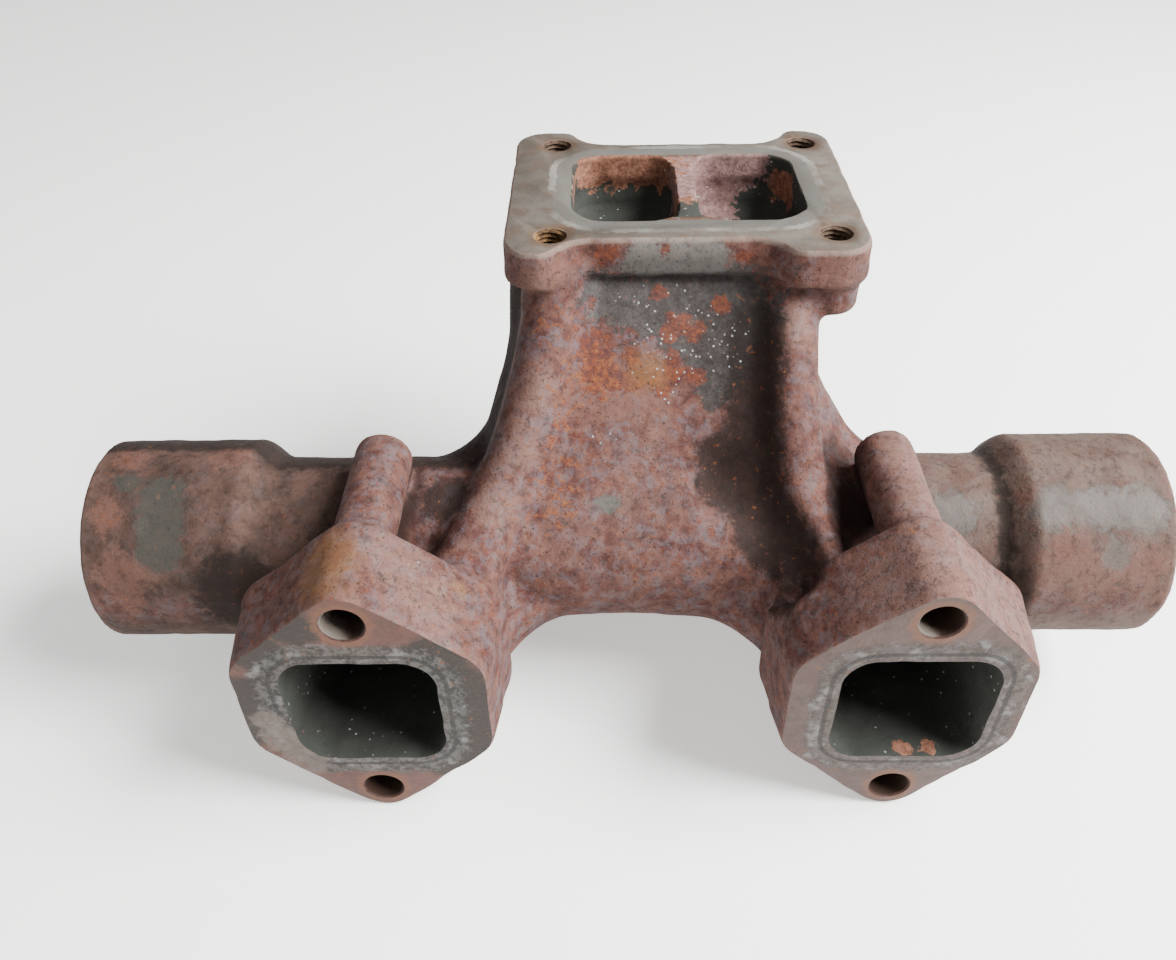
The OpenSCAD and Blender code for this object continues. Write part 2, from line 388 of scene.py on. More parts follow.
def turbo_outline(x, y):
    a, b = x - TURBO_X, y - TURBO_Y
    plate = round_rect(x - (turbo_low[0] + turbo_high[0]) / 2, b, LOBE_X, LOBE_Y, 11)
    front = scoop(a, b + STUD_Y + 3 + SCOOP_R, -31, 17)
    back = scoop(a, b - STUD_Y - 1 - SCOOP_R, -25, 26)
    return both(both(plate, -front, 4), -back, 4)


def turbo_plate(x, y, z):
    return both(turbo_outline(x, y), slab(z, TURBO_BOTTOM, TURBO_Z + SPARE), 1.8)


body = Solid(LOW, HIGH, STEP)
body.add(pipe, (LOW[0], LOG_Y - 40, LOG_Z - 40), (HIGH[0], LOG_Y + 40, LOG_Z + 40))
for side in SIDES:
    near, far = sorted((side * (PORT_X - 60), side * (PORT_X + 60)))
    body.add(runner(side), (near, 0, -50), (far, 90, 60), runner_fillet)
body.add(riser, (-100, 20, -40), (110, 200, 104), riser_fillet)
for side in SIDES:
    near, far = sorted((side * (PORT_X - 60), side * (PORT_X + 60)))
    body.add(block(side), (near, LOW[1], LOW[2]), (far, 60, 60), 5)
    body.add(rib(side), (-100, 20, -40), (110, 190, 104), 5)
    body.add(leg(side), (-100, 10, -20), (110, 90, 60), 6)
groove = Solid(LOW, HIGH, STEP)
groove.add(valley, (-50, 0, -20), (80, 100, 70))
body.cut(groove, 6)
body.add(turbo_plate, (TURBO_X - 75, TURBO_Y - 70, TURBO_BOTTOM - 14),
         (TURBO_X + 75, TURBO_Y + 70, HIGH[2]), 2)
for side in SIDES:
    for row in (-1, 1):
        centre = np.array((TURBO_X + side * STUD_X, TURBO_Y + row * STUD_Y, BOSS_BOTTOM + 8))
        body.add(boss(side, row), centre - 22, centre + 22, 3.5)
    centre = np.array((side * PORT_X, 50, BOLT_Z))
    body.add(sleeve(side), centre - (25, 60, 22), centre + (25, 32, 22), 3)

# ---------------------------------------------------------------- the gas ways
ways = Solid(LOW, HIGH, STEP)


def bore(x, y, z):
    return np.hypot(y - LOG_Y, z - LOG_Z) - BORE_R + 0 * x


def port_way(side):
    def shape(x, y, z):
        away = ramp((y - 12) / 34)
        port = round_rect(x - side * PORT_X, z + 3.5 * away, PORT_HALF - 2 * away, PORT_HALF - 5 * away, 10)
        return both(port, slab(y, -10, 66), 3)
    return shape


DIVIDER_T = 5.0
OPENING_W = 75.0
OPENING_D = 50.5


def passage(side):
    def shape(x, y, z):
        s, n = along(y, z), across(y, z)
        near = TURBO_X + side * DIVIDER_T / 2
        far = TURBO_X + side * OPENING_W / 2
        spread = ramp((95 - s) / 95)
        far = far + side * (14 if side == LEFT else 4) * spread
        middle, half = (near + far) / 2, abs(far - near) / 2
        lean = both(abs(x - middle) - half, abs(n) - 18.6 + 2.5 * spread, 11)
        lean = both(lean, np.maximum(z - TURBO_BOTTOM - 1, -s), 3)
        neck = round_rect(x - TURBO_X - side * (OPENING_W + DIVIDER_T) / 4, y - TURBO_Y,
                          (OPENING_W - DIVIDER_T) / 4, OPENING_D / 2, 10.5)
        neck = both(neck, TURBO_BOTTOM - 6 - z, 1)
        return blend(lean, neck, 5)
    return shape


def sill(x, y, z):
    """The top of the divider, which the mill just missed"""
    strip = round_rect(x - TURBO_X, y - TURBO_Y, 8, OPENING_D / 2 - 2, 5)
    return both(strip, TURBO_Z - 0.6 - z, 0.3)


ways.add(bore, (LOW[0], LOG_Y - 30, LOG_Z - 30), (HIGH[0], LOG_Y + 30, LOG_Z + 30))
for side in SIDES:
    near, far = sorted((side * (PORT_X - 40), side * (PORT_X + 40)))
    ways.add(port_way(side), (near, LOW[1], -40), (far, 80, 45), 6)
for side in SIDES:
    ways.add(passage(side), (-80, 40, -30), (100, 180, HIGH[2]), 5)
wall = Solid(LOW, HIGH, STEP)
wall.add(lambda x, y, z: abs(x - TURBO_X) - DIVIDER_T / 2 + 0 * (y + z), LOW, HIGH)
ways.cut(wall, 3)
ways.add(sill, (TURBO_X - 50, TURBO_Y - 40, TURBO_Z - 14), (TURBO_X + 50, TURBO_Y + 40, HIGH[2]), 0.3)

body.d += 0.22 * noise(body.d.shape, STEP, 7, 1) + 0.12 * noise(body.d.shape, STEP, 3.2, 2)
ways.d += 0.24 * noise(body.d.shape, STEP, 5, 3)
body.cut(ways, 1.0)
casting = body.mesh("casting")


# ---------------------------------------------------------------- the machining
def revolve(profile, count=48):
    """Points and faces of a solid of revolution about +Z, from (radius, height) going up"""
    points, rings = [], []
    for r, h in profile:
        n = count if r > 0 else 1
        rings.append(list(range(len(points), len(points) + n)))
        turns = [2 * math.pi * k / count for k in range(n)]
        points += [(r * math.cos(t), r * math.sin(t), h) for t in turns]
    faces = []
    for low, high in zip(rings, rings[1:]):
        for k in range(count):
            quad = [low[k % len(low)], low[(k + 1) % len(low)],
                    high[(k + 1) % len(high)], high[k % len(high)]]
            faces.append(list(dict.fromkeys(quad)))
    return points, faces


def prism(outline, low, high):
    """Points and faces of an outline, drawn anticlockwise in x and y, between two heights"""
    n = len(outline)
    points = [(x, y, low) for x, y in outline] + [(x, y, high) for x, y in outline]
    faces = [list(range(n))[::-1], list(range(n, 2 * n))]
    faces += [[k, (k + 1) % n, n + (k + 1) % n, n + k] for k in range(n)]
    return points, faces


def placed(shape, axis, origin):
    """The same shape with its own +Z turned to an axis and its origin moved"""
    turn = Vector((0, 0, 1)).rotation_difference(Vector(axis))
    return [tuple(turn @ Vector(p) + Vector(origin)) for p in shape[0]], shape[1]


def carve(piece, shapes, how="DIFFERENCE"):
    """Cut some closed shapes, clear of each other, out of a piece, or keep what lies in them"""
    points, faces = [], []
    for p, f in shapes:
        faces += [[k + len(points) for k in face] for face in f]
        points += p
    tool = solid_object("tool", points, faces)
    step = piece.modifiers.new("carve", "BOOLEAN")
    step.operation, step.solver, step.object = how, "MANIFOLD", tool
    bpy.context.view_layer.update()
    old = piece.data
    piece.data = bpy.data.meshes.new_from_object(piece.evaluated_get(bpy.context.evaluated_depsgraph_get()))
    piece.modifiers.clear()
    bpy.data.meshes.remove(old)
    bpy.data.objects.remove(tool)


def bolt_hole(r, start, end):
    """A plain hole from the head face, with its two edges broken"""
    return revolve([(0, start), (r + 1.6, start), (r, 0.6), (r, end - 1), (r + 2, end + 1), (0, end + 1)])


THREAD_PITCH = 1.5
STUD_DEPTH = 22


def tapped_hole():
    """A tapped blind hole down from the turbo face, with its thread and its countersink"""
    per_turn, per_pitch = 28, 6
    rows = int(STUD_DEPTH / THREAD_PITCH * per_pitch)
    points, faces = [(0, 0, -STUD_DEPTH - 2)], []
    for row in range(rows + 1):
        h = -STUD_DEPTH + row * STUD_DEPTH / rows
        for k in range(per_turn):
            turn = (h / THREAD_PITCH - k / per_turn) % 1
            r = STUD_R + 0.85 * (1 - abs(2 * turn - 1)) * ramp((h + STUD_DEPTH) / 2)
            r = max(r, STUD_R + 1.1 + 1.2 * h)
            points.append((r * math.cos(2 * math.pi * k / per_turn),
                           r * math.sin(2 * math.pi * k / per_turn), h))
    for k in range(per_turn):
        points.append((1.1 * points[-per_turn][0], 1.1 * points[-per_turn][1], 0.6))
    last = len(points) - per_turn
    for k in range(per_turn):
        a, b = k, (k + 1) % per_turn
        faces.append([0, 1 + b, 1 + a])
        for start in range(1, last, per_turn):
            faces.append([start + a, start + b, start + per_turn + b, start + per_turn + a])
    faces.append(list(range(last, last + per_turn)))
    return points, faces


def dish(r, depth):
    """A shallow worn dip, of a radius and depth, below its own z = 0"""
    arc = [(r * math.sin(t), -depth * math.cos(t)) for t in (0, 0.3, 0.6, 0.9, 1.2, math.pi / 2)]
    return revolve(arc + [(r, 1), (0, 1)])


FAR = 400
box = prism([(END_LEFT, 0), (END_RIGHT, 0), (END_RIGHT, FAR), (END_LEFT, FAR)], -FAR, TURBO_Z)
carve(casting, [box], "INTERSECT")
holes = []
for side in SIDES:
    holes.append(placed(bolt_hole(BOLT_R, -1, SLEEVE_END), (0, 1, 0), (side * PORT_X, 0, BOLT_Z)))
    holes.append(placed(bolt_hole(BOLT_R, -1, PAD_T), (0, 1, 0), (side * PORT_X, 0, -BOLT_Z)))
    socket = revolve([(0, -BELL_DEPTH), (BELL_BORE_R, -BELL_DEPTH), (BELL_BORE_R, -1.5),
                      (BELL_BORE_R + 2.5, 1), (0, 1)], 96)
    holes.append(placed(socket, (side, 0, 0), (END_LEFT if side == LEFT else END_RIGHT, LOG_Y, LOG_Z)))
    for row in (-1, 1):
        holes.append(placed(tapped_hole(), (0, 0, 1),
                            (TURBO_X + side * STUD_X, TURBO_Y + row * STUD_Y, TURBO_Z)))
carve(casting, holes)
carve(casting, [placed(dish(13, 1.0), (0, -1, 0), (-PORT_X - 30, 0, -17))])

# ---------------------------------------------------------------- camera, light and floor
def look(place, yaw, pitch, roll):
    forward = Vector((math.sin(yaw) * math.cos(pitch), math.cos(yaw) * math.cos(pitch), -math.sin(pitch)))
    right = forward.cross(Vector((0, 0, 1))).normalized()
    up = right.cross(forward)
    right, up = math.cos(roll) * right + math.sin(roll) * up, -math.sin(roll) * right + math.cos(roll) * up
    turn = Matrix((right, up, -forward)).transposed().to_4x4()
    turn.translation = place
    return turn


camera_data = bpy.data.cameras.new("camera")
camera_data.sensor_width = 36
camera_data.lens = 36 * 985 / 1176
camera_data.clip_start = 0.01
camera = bpy.data.objects.new("camera", camera_data)
camera.matrix_world = look(Vector((-0.0103, -0.174, 0.2385)),
                           math.radians(-1.0), math.radians(40.6), math.radians(-1.05))
bpy.context.scene.collection.objects.link(camera)
bpy.context.scene.camera = camera

def area(name, place, target, size, watts):
    light = bpy.data.lights.new(name, "AREA")
    light.size = size
    light.energy = watts
    obj = bpy.data.objects.new(name, light)
    obj.location = place
    obj.rotation_euler = (Vector(target) - Vector(place)).to_track_quat("-Z", "Y").to_euler()
    bpy.context.scene.collection.objects.link(obj)

area("key", (0.92, -0.12, 0.9), (0, 0.08, 0), 0.8, 95)
area("fill", (-0.6, -0.6, 0.8), (0, 0.08, 0), 1.2, 4)
world = bpy.data.worlds.new("world")
bpy.context.scene.world = world
world.use_nodes = True
world.node_tree.nodes["Background"].inputs["Color"].default_value = (1, 1, 1, 1)
world.node_tree.nodes["Background"].inputs["Strength"].default_value = 0.32

floor_data = bpy.data.meshes.new("floor")
fm = bmesh.new()
bmesh.ops.create_grid(fm, x_segments=1, y_segments=1, size=4)
fm.to_mesh(floor_data)
floor = bpy.data.objects.new("floor", floor_data)
floor.location = (0, 0, cad_box[0][2])
bpy.context.scene.collection.objects.link(floor)
sheet = bpy.data.materials.new("pale_floor")
sheet.use_nodes = True
shader = sheet.node_tree.nodes["Principled BSDF"]
shader.inputs["Base Color"].default_value = (0.9, 0.9, 0.88, 1)
shader.inputs["Roughness"].default_value = 0.7
shader.inputs["Emission Color"].default_value = (1, 1, 0.98, 1)
shader.inputs["Emission Strength"].default_value = 0.62
floor_data.materials.append(sheet)

# ---------------------------------------------------------------- wear, stains and painted shade, kept on each piece's points
def unit(v):
    return v / np.maximum(np.linalg.norm(v, axis=1, keepdims=True), 1e-9)


def spots(points, places):
    """How deep a point lies in some soft round stains or patches of painted shade, from 0 outside to 1 near a
    middle
    """
    clear = np.ones(len(points))
    for x, y, z, r in places:
        gap = np.linalg.norm(points - (x, y, z), axis=1) / r
        clear *= 1 - ramp((1.9 - gap) / 1.9)
    return 1 - clear


def weather(piece):
    """Write how deep in a hollow each point of a piece lies, for painted shade, how proud and how stained it is,
    some stains being painted shade, and give the skin's slope there
    """
    data = piece.data
    points = np.empty(len(data.vertices) * 3, np.float32)
    data.vertices.foreach_get("co", points)
    points = points.reshape(-1, 3) / MM
    steps = np.eye(3)
    normals = unit(np.stack([body.sample(points + 1.5 * e) - body.sample(points - 1.5 * e)
                             for e in steps], 1))
    # painted shade: how closed in each point is, read from the field along its normal, to darken hollows
    hollow_shade = np.zeros(len(points))
    for reach, weight in ((4, 0.25), (9, 0.35), (16, 0.4)):
        clear = body.sample(points + reach * normals) / reach
        hollow_shade += weight * np.clip(1 - clear, 0, 1)
    here = body.sample(points)
    around = sum(body.sample(points + d * 4 * e) for e in steps for d in (-1, 1)) / 6
    proud = np.clip((around - here) / 1.3, -1, 1)
    inside = ramp((1.6 - abs(ways.sample(points))) / 1.2)
    layers = {"hollow_shade": hollow_shade, "proud": proud, "inside": inside}
    for name, places in STAINS.items():
        layers[name] = spots(points, places)
    s, n = along(points[:, 1], points[:, 2]), across(points[:, 1], points[:, 2])
    # painted shade, with some soot: the back of the riser's left side, turned away from the light
    back = ramp((n + 21) / 9) * ramp((s - 12) / 16) * ramp((TURBO_BOTTOM - points[:, 2]) / 4)
    layers["soot_and_shade"] = np.maximum(layers["soot_and_shade"], back * ramp((TURBO_X - points[:, 0]) / 20))
    # painted shade in the right bell's shoulder crease
    crease = ramp(1 - abs(points[:, 0] - BELL_START - 1.5) / 6) * ramp((38 - points[:, 2]) / 6)
    layers["soot_and_shade"] = np.maximum(layers["soot_and_shade"], 0.75 * crease)
    top = ramp((points[:, 2] - TURBO_Z + 2.4) / 1.4)
    mouth = np.maximum(abs(points[:, 0] - TURBO_X) - OPENING_W / 2,
                       abs(points[:, 1] - TURBO_Y) - OPENING_D / 2)
    top = top * ramp((mouth - 1) / 2)
    layers["edge"] = np.maximum(top, 0.6 * ramp((1.8 - points[:, 1]) / 1.2)) * (1 - inside)
    for name in ("bore", "glint", "thread"):
        layers[name] = np.zeros(len(points))
    for side in SIDES:
        for row in (-1, 1):
            gap = np.hypot(points[:, 0] - side * PORT_X, points[:, 2] - row * BOLT_Z)
            bored = (gap < BOLT_R + 0.4) & (points[:, 1] < SLEEVE_END + 3)
            layers["bore"][bored] = 1
            if row == 1:
                glint = ramp((10 - points[:, 1]) / 8) * ramp((5 + side * PORT_X - points[:, 0]) / 9)
                layers["glint"][bored] = glint[bored]
            gap = np.hypot(points[:, 0] - TURBO_X - side * STUD_X, points[:, 1] - TURBO_Y - row * STUD_Y)
            layers["thread"][(gap < STUD_R + 1.05) & (points[:, 2] > TURBO_Z - STUD_DEPTH - 3)] = 1
    layers["cool"] = ramp((abs(points[:, 0]) - 70) / 40) * ramp((points[:, 1] - 34) / 6)
    for name, values in layers.items():
        layer = data.attributes.new(name, "FLOAT", "POINT")
        layer.data.foreach_set("value", np.asarray(values, np.float32))
    return unit(np.stack([body.sample(points + 0.6 * e) - body.sample(points - 0.6 * e) for e in steps], 1))


# ---------------------------------------------------------------- materials
def rgb(r, g, b):
    """A linear colour, darker than the usual 0 to 255 numbers say, as the lights are strong"""
    return tuple(0.38 * (c / 255) ** 2.2 for c in (r, g, b)) + (1,)


class Paint:
    """A procedural material, built up with a few kinds of node"""

    def __init__(self, name):
        self.material = bpy.data.materials.new(name)
        self.material.use_nodes = True
        self.tree = self.material.node_tree
        self.shader = self.tree.nodes["Principled BSDF"]
        self.shader.inputs["Specular IOR Level"].default_value = 0.2
        self.place = self.tree.nodes.new("ShaderNodeTexCoord").outputs["Object"]

    def put(self, socket, value):
        if isinstance(value, bpy.types.NodeSocket):
            self.tree.links.new(value, socket)
        else:
            socket.default_value = value

    def sum(self, how, *values):
        node = self.tree.nodes.new("ShaderNodeMath")
        node.operation = how
        for socket, value in zip(node.inputs, values):
            self.put(socket, value)
        return node.outputs[0]

    def times(self, *values):
        out = values[0]
        for value in values[1:]:
            out = self.sum("MULTIPLY", out, value)
        return out

    def step(self, value, low, high):
        """Rises smoothly from 0 to 1 as the value goes from low to high"""
        node = self.tree.nodes.new("ShaderNodeMapRange")
        node.interpolation_type = "SMOOTHSTEP"
        self.put(node.inputs["Value"], value)
        node.inputs["From Min"].default_value = low
        node.inputs["From Max"].default_value = high
        return node.outputs["Result"]

    def noise(self, size, detail=3, rough=0.55, twist=0.0, seed=0):
        """Noise with lumps of a size in mm"""
        node = self.tree.nodes.new("ShaderNodeTexNoise")
        node.noise_dimensions = "4D"
        self.put(node.inputs["Vector"], self.place)
        node.inputs["W"].default_value = seed
        node.inputs["Scale"].default_value = 1000 / size
        node.inputs["Detail"].default_value = detail
        node.inputs["Roughness"].default_value = rough
        node.inputs["Distortion"].default_value = twist
        return node.outputs["Fac"]

    def cells(self, size):
        node = self.tree.nodes.new("ShaderNodeTexVoronoi")
        self.put(node.inputs["Vector"], self.place)
        node.inputs["Scale"].default_value = 1000 / size
        return node.outputs["Distance"]

    def layer(self, name):
        node = self.tree.nodes.new("ShaderNodeAttribute")
        node.attribute_name = name
        return node.outputs["Fac"]

    def blend(self, share, a, b):
        node = self.tree.nodes.new("ShaderNodeMix")
        node.data_type = "RGBA"
        self.put(node.inputs["Factor"], share)
        self.put(node.inputs["A"], a)
        self.put(node.inputs["B"], b)
        return node.outputs["Result"]

    def axis(self, index):
        node = self.tree.nodes.new("ShaderNodeSeparateXYZ")
        self.put(node.inputs[0], self.place)
        return node.outputs[index]

    def gaps(self, places, a, b):
        """Distances in mm, on a face, from some places on it"""
        for place in places:
            da, db = self.sum("SUBTRACT", a, place[0]), self.sum("SUBTRACT", b, place[1])
            yield self.sum("SQRT", self.sum("ADD", self.times(da, da), self.times(db, db)))

    def holes(self, places, a, b):
        """Distance in mm from the nearest of some holes"""
        out = 1000.0
        for gap in self.gaps(places, a, b):
            out = self.sum("MINIMUM", gap, out)
        return out

    def near(self, places, a, b):
        """1 in the middle of any of some round marks, fading to 0 outside them"""
        out = 0.0
        for place, gap in zip(places, self.gaps(places, a, b)):
            out = self.sum("MAXIMUM", self.step(gap, 1.7 * place[2], 0.3 * place[2]), out)
        return out

    def bump(self, height, depth):
        node = self.tree.nodes.new("ShaderNodeBump")
        node.inputs["Distance"].default_value = depth * MM
        self.put(node.inputs["Height"], height)
        self.put(self.shader.inputs["Normal"], node.outputs[0])


MAROON = rgb(98, 60, 56)
RUST = rgb(146, 102, 90)
TAUPE = rgb(132, 116, 105)
# taupe as it looks in shade, painted on the left bell
TAUPE_IN_SHADE = rgb(72, 61, 53)
UMBER = rgb(56, 40, 35)
ROSE = rgb(174, 136, 124)
MAUVE = rgb(132, 123, 130)
STEEL = rgb(112, 110, 105)
SLATE = rgb(66, 65, 62)
ORANGE = rgb(156, 84, 56)
OCHRE = rgb(170, 122, 76)
# near black, for soot and for painted shade
SOOT_SHADE_BLACK = rgb(34, 31, 29)
PALE = rgb(220, 220, 216)


def rust(paint):
    """The mottled rust of the casting, with its patches, flecks and soot, and painted shade in its hollows,
    creases and sides turned from the light
    """
    broad = paint.noise(26, 4, 0.6, seed=1)
    patchy = paint.noise(5, 6, 0.65, 0.4, seed=2)
    fine = paint.noise(2.2, 4, 0.7, 0.3, seed=3)
    grain = paint.noise(0.9, 3, 0.7, seed=4)
    edge = paint.sum("SUBTRACT", paint.noise(4.5, 7, 0.75, 0.5, seed=9), 0.5)

    def stained(name, low, high, rough=3.2):
        """A stain's share, or a painted shade's, with a ragged edge"""
        return paint.step(paint.sum("ADD", paint.layer(name), paint.times(edge, rough)), low, high)

    def coat(colour, share, most, coating):
        return paint.blend(paint.times(share, most), colour, coating)

    cool = paint.sum("ADD", paint.layer("cool"), paint.times(paint.sum("SUBTRACT", broad, 0.5), 0.8))
    cool = paint.step(cool, 0.25, 0.75)
    colour = paint.blend(paint.step(patchy, 0.34, 0.66), MAROON, RUST)
    colour = coat(colour, paint.step(paint.noise(5, 6, 0.7, 0.6, seed=5), 0.44, 0.64), 0.6, MAUVE)
    red = paint.step(paint.noise(3, 5, 0.7, 0.3, seed=10), 0.54, 0.64)
    colour = coat(colour, red, 0.72, paint.blend(broad, MAROON, ORANGE))
    # painted shade: the left bell, on the side away from the light, takes a darker copy of the taupe
    bell = paint.blend(paint.step(paint.axis(0), -0.05, 0.05), TAUPE_IN_SHADE, TAUPE)
    bell = paint.blend(paint.step(paint.noise(9, 6, 0.65, seed=11), 0.35, 0.65), bell, rgb(112, 88, 78))
    colour = coat(colour, cool, 0.8, bell)
    # maroon rust, and painted shade along a crease of the trough
    colour = coat(colour, stained("maroon_and_crease_shade", 0.2, 0.9, 1.6), 0.6, MAROON)
    colour = coat(colour, stained("pink", 0.1, 1.0, 2.2), 0.5, ROSE)
    colour = coat(colour, paint.step(paint.layer("proud"), 0.0, 0.8), 0.22, ROSE)
    colour = coat(colour, stained("warm", 0.35, 0.75, 2.4), 0.55, RUST)
    blotch = paint.step(paint.noise(3, 5, 0.7, 0.3, seed=6), 0.5, 0.36)
    colour = coat(colour, blotch, 0.45, UMBER)
    grey = stained("grey", 0.3, 0.7, 2.0)
    # grey patches: darker on the left, a painted shade on the side away from the light, and paler along the top
    # of the flange's front
    grey_patch_with_shade = paint.blend(paint.step(paint.axis(0), -0.05, 0.0), rgb(86, 84, 78), STEEL)
    grey_patch_with_shade = paint.blend(paint.step(paint.axis(2), 0.09, 0.096), grey_patch_with_shade, rgb(150, 146, 140))
    slate = stained("slate", 0.3, 0.5)
    colour = coat(colour, slate, 0.9,
                  paint.blend(paint.step(fine, 0.25, 0.75), rgb(58, 54, 52), rgb(98, 96, 94)))
    colour = coat(colour, grey, paint.sum("SUBTRACT", 0.9,
                                          paint.times(paint.step(paint.axis(0), 0.06, 0.09), 0.3)),
                  paint.blend(paint.step(fine, 0.1, 0.55), SLATE, grey_patch_with_shade))
    # soot, and painted shade in the trough's right side, the pockets, the back of the riser and beside the left
    # bell
    colour = coat(colour, stained("soot_and_shade", 0.2, 0.75, 1.6), 0.86, paint.blend(fine, SOOT_SHADE_BLACK, UMBER))
    colour = coat(colour, stained("orange", 0.5, 0.62), 0.85,
                  paint.blend(paint.step(fine, 0.35, 0.65), MAROON, ORANGE))
    flecks = paint.step(paint.sum("ADD", fine, paint.times(paint.layer("flecks"), 0.12)), 0.6, 0.68)
    flecks = paint.times(flecks, paint.sum("SUBTRACT", 1, paint.times(cool, 0.6)))
    colour = coat(colour, flecks, 0.75, paint.blend(paint.step(grain, 0.45, 0.65), ORANGE, OCHRE))
    colour = coat(colour, stained("ochre", 0.2, 1.0, 1.8), 0.5, OCHRE)
    # painted shade: umber darkens the hollows, by how closed in they are
    hollow_shade_share = paint.step(paint.sum("ADD", paint.layer("hollow_shade"), paint.times(edge, 0.3)), 0.3, 0.85)
    colour = coat(colour, hollow_shade_share, 0.85, UMBER)
    pits = paint.times(paint.step(grain, 0.43, 0.33), paint.sum("SUBTRACT", 0.75, paint.times(cool, 0.35)))
    colour = paint.blend(pits, colour, UMBER)
    dots = paint.times(paint.step(paint.cells(1.9), 0.24, 0.12), stained("specks", 0.75, 1.0, 4.5))
    colour = paint.blend(dots, colour, PALE)
    worn = paint.step(paint.sum("ADD", paint.layer("edge"), paint.times(edge, 1.6)), 0.5, 1.1)
    colour = coat(colour, worn, 0.55, rgb(178, 160, 146))
    glint = paint.step(paint.sum("ADD", paint.layer("glint"), paint.times(edge, 0.6)), 0.3, 0.8)
    colour = paint.blend(paint.layer("bore"), colour, paint.blend(glint, rgb(78, 58, 48), rgb(158, 146, 134)))
    brass = paint.step(paint.sum("ADD", paint.axis(0), paint.times(paint.axis(1), 1.5)), 0.18, 0.1)
    thread = paint.blend(brass, rgb(120, 98, 80), rgb(186, 138, 78))
    thread = paint.blend(paint.step(fine, 0.35, 0.6), rgb(70, 50, 38), thread)
    colour = paint.blend(paint.layer("thread"), colour, thread)
    smooth = paint.sum("MAXIMUM", grey, slate)
    height = paint.sum("ADD", paint.times(fine, paint.sum("SUBTRACT", 0.7, paint.times(smooth, 0.5))),
                       paint.times(grain, 0.35))
    return colour, height, smooth


def cast_iron():
    paint = Paint("cast_iron")
    colour, height, smooth = rust(paint)
    black = paint.blend(paint.noise(9, 4, 0.6, seed=11), rgb(62, 65, 60), rgb(94, 96, 90))
    flaky = paint.times(paint.sum("SUBTRACT", paint.noise(5, 7, 0.7, 0.6, seed=12), 0.5), 3.0)
    tan = paint.step(paint.sum("ADD", paint.layer("tan"), flaky), 0.45, 0.55)
    black = paint.blend(tan, black, paint.blend(paint.step(paint.noise(2, 4, 0.7, seed=13), 0.3, 0.7),
                                                rgb(132, 86, 68), rgb(206, 146, 118)))
    plum = paint.step(paint.sum("ADD", paint.layer("plum"), flaky), 0.45, 0.6)
    black = paint.blend(plum, black, paint.blend(paint.step(paint.noise(2, 4, 0.7, seed=16), 0.3, 0.7),
                                                 rgb(140, 106, 102), rgb(196, 156, 150)))
    dots = paint.step(paint.cells(3.4), 0.15, 0.07)
    black = paint.blend(paint.times(dots, paint.step(paint.noise(9, 2, seed=15), 0.42, 0.55)), black, PALE)
    colour = paint.blend(paint.layer("inside"), colour, black)
    paint.put(paint.shader.inputs["Base Color"], colour)
    rough = paint.sum("SUBTRACT", 0.86, paint.times(smooth, 0.28))
    paint.put(paint.shader.inputs["Roughness"], rough)
    paint.bump(height, 0.45)
    return paint.material


def face_gap(paint, across, up, half_across, half_up, corner=10):
    """Distance in mm from a rounded opening's edge, on a face, out from it"""
    a = paint.sum("SUBTRACT", paint.sum("ABSOLUTE", across), half_across - corner)
    b = paint.sum("SUBTRACT", paint.sum("ABSOLUTE", up), half_up - corner)
    a, b = paint.sum("MAXIMUM", a, 0.0), paint.sum("MAXIMUM", b, 0.0)
    gap = paint.sum("SQRT", paint.sum("ADD", paint.times(a, a), paint.times(b, b)))
    return paint.sum("SUBTRACT", gap, corner)


def band(paint, value, low, high, soft=1.0):
    return paint.times(paint.step(value, low - soft, low), paint.step(value, high + soft, high))


